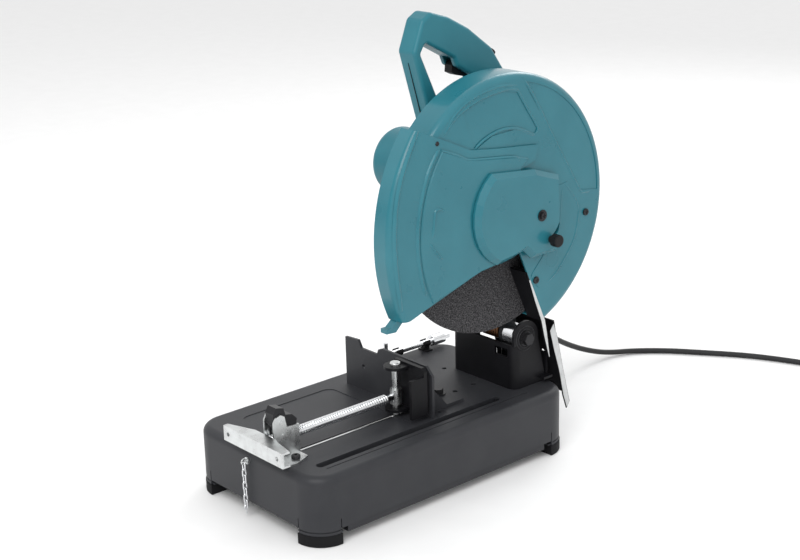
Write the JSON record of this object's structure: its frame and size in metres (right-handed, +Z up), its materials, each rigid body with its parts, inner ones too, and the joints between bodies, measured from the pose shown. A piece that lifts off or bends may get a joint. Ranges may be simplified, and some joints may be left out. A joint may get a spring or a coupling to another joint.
{
  "type": "abrasive chop saw",
  "caption": "Bench cut-off machine: pressed base with fence and screw vise, spring-raised arm with motor, D-handle, abrasive wheel and swinging guards.",
  "frame": {"origin": "floor plane under the feet, at the middle of the saw's footprint without its cord", "axes": "+X to the wheel side (the operator's right), -Y towards the operator, +Y to the hinge, +Z up"},
  "size_m": [0.4786, 1.157, 0.6492],
  "materials": {
    "base_black": "satin black paint",
    "teal_paint": "gloss teal paint",
    "teal_plastic": "moulded teal plastic",
    "black_metal": "semi-gloss black",
    "black_plastic": "matte",
    "rubber": "matte black rubber",
    "zinc": "zinc plated",
    "chrome": "bright plated",
    "steel": "machined",
    "dark_steel": "blackened",
    "spring_steel": "heat-tinted spring wire",
    "casting": "cast aluminium, painted dark",
    "abrasive": "resin-bonded abrasive, coarse",
    "copper": "copper winding and segments",
    "cord_rubber": "rubber sheath"
  },
  "bodies": {
    "base": {"base_shell": "base_black", "base_rails": "base_black", "rubber_feet": "rubber", "foot_screws": "zinc", "fence": "base_black", "top_bolts": "dark_steel", "hinge_bracket": "black_metal", "hinge_shaft": "dark_steel", "torsion_spring": "spring_steel", "stop_screw": "dark_steel", "vise_bracket": "zinc", "vise_bolts": "dark_steel", "nut_pin": "zinc", "chain_eye": "zinc", "wrench_clips": "black_plastic", "spark_bracket": "black_metal", "spark_bolts": "dark_steel", "cord": "cord_rubber", "cord_coil": "cord_rubber", "plug": "black_plastic"},
    "arm": {"arm_casting": "casting", "hub_collar": "chrome", "bearings": "steel", "motor_housing": "teal_plastic", "rear_cover": "teal_plastic", "brush_caps": "black_plastic", "carbon_brushes": "dark_steel", "stator": "steel", "guard_case": "teal_paint", "guard_cover": "teal_paint", "chute": "black_metal", "cover_screws": "dark_steel", "guard_hub": "steel", "pivot_screw": "dark_steel", "handle_left": "teal_plastic", "handle_right": "teal_plastic", "switch": "black_plastic", "gland": "cord_rubber"},
    "wheel": {"spindle": "steel", "drive_gear": "steel", "wheel_flanges": "dark_steel", "abrasive_wheel": "abrasive", "wheel_bolt": "dark_steel"},
    "armature": {"armature_shaft": "steel", "armature_core": "copper", "fan": "black_plastic"},
    "safety_guard": {"safety_guard": "teal_paint"},
    "center_cover": {"center_cover": "teal_paint"},
    "clamp_knob": {"clamp_knob": "black_plastic"},
    "trigger": {"trigger": "black_plastic"},
    "lock_off_button": {"lock_off_button": "black_plastic"},
    "shaft_lock": {"shaft_lock": "zinc"},
    "vise_carriage": {"jaw_pin": "zinc"},
    "vise_screw": {"vise_screw": "chrome", "vise_crank": "zinc"},
    "vise_jaw": {"vise_jaw": "black_metal"},
    "flip_nut": {"flip_nut": "dark_steel"},
    "spark_guard": {"spark_guard": "black_metal"},
    "chain": {"chain": "chrome"},
    "wrench": {"wrench": "chrome"}
  },
  "joints": [
    {"name": "arm_swing", "type": "hinge", "parent": "base", "child": "arm", "pos_m": [0.01685, 0.16275, 0.173], "axis": [1, 0, 0], "range_deg": [0, 56], "stiffness_Nm_per_rad": 11, "springref_deg": -57.3},
    {"name": "safety_guard_swing", "type": "hinge", "parent": "arm", "child": "safety_guard", "pos_m": [0.09685, 0.09425, 0.383], "axis": [1, 0, 0], "range_deg": [-70, 0]},
    {"name": "wheel_spin", "type": "hinge", "parent": "arm", "child": "wheel", "pos_m": [0.08485, 0.09425, 0.383], "axis": [1, 0, 0], "continuous": true},
    {"name": "armature_spin", "type": "hinge", "parent": "arm", "child": "armature", "pos_m": [-0.01315, 0.12658, 0.40481], "axis": [1, 0, 0], "continuous": true},
    {"name": "center_cover_swing", "type": "hinge", "parent": "arm", "child": "center_cover", "pos_m": [0.13085, 0.14075, 0.371], "axis": [1, 0, 0], "range_deg": [-70, 0]},
    {"name": "clamp_knob_turn", "type": "hinge", "parent": "arm", "child": "clamp_knob", "pos_m": [0.13685, 0.15775, 0.334], "axis": [1, 0, 0], "continuous": true},
    {"name": "trigger_squeeze", "type": "hinge", "parent": "arm", "child": "trigger", "pos_m": [0.02185, 0.11475, 0.562], "axis": [1, 0, 0], "range_deg": [-8, 0], "stiffness_Nm_per_rad": 0.6, "springref_deg": 17.19},
    {"name": "lock_off_press", "type": "slide", "parent": "arm", "child": "lock_off_button", "axis": [0, -0.8168, -0.5769], "range_m": [0, 0.0035], "stiffness_N_per_m": 200, "springref_m": -0.003},
    {"name": "shaft_lock_press", "type": "slide", "parent": "arm", "child": "shaft_lock", "axis": [1, 0, 0], "range_m": [0, 0.002], "stiffness_N_per_m": 300, "springref_m": -0.002},
    {"name": "vise_slide", "type": "slide", "parent": "base", "child": "vise_carriage", "axis": [0, -1, 0], "range_m": [0, 0.095]},
    {"name": "vise_screw_turn", "type": "hinge", "parent": "vise_carriage", "child": "vise_screw", "pos_m": [0.02535, -0.12325, 0.125], "axis": [0, 1, 0], "continuous": true},
    {"name": "jaw_swivel", "type": "hinge", "parent": "vise_carriage", "child": "vise_jaw", "pos_m": [0.02535, -0.03525, 0.135], "axis": [0, 0, 1], "range_deg": [-6, 6]},
    {"name": "flip_nut_swing", "type": "hinge", "parent": "base", "child": "flip_nut", "pos_m": [0.02535, -0.24225, 0.15], "axis": [1, 0, 0], "range_deg": [0, 70]},
    {"name": "spark_guard_adjust", "type": "slide", "parent": "base", "child": "spark_guard", "axis": [0, 0.2073, -0.9783], "range_m": [-0.0075, 0.0075]},
    {"name": "chain_swing", "type": "hinge", "parent": "base", "child": "chain", "pos_m": [-0.02115, -0.26475, 0.0794], "axis": [0, 1, 0], "range_deg": [-60, 60]},
    {"name": "wrench_lift", "type": "slide", "parent": "base", "child": "wrench", "axis": [0, 0, 1], "range_m": [0, 0.035]}
  ],
  "couplings": [
    {"joint": "safety_guard_swing", "follows": "arm_swing", "ratio": -1.25},
    {"joint": "armature_spin", "follows": "wheel_spin", "ratio": -5.5}
  ]
}
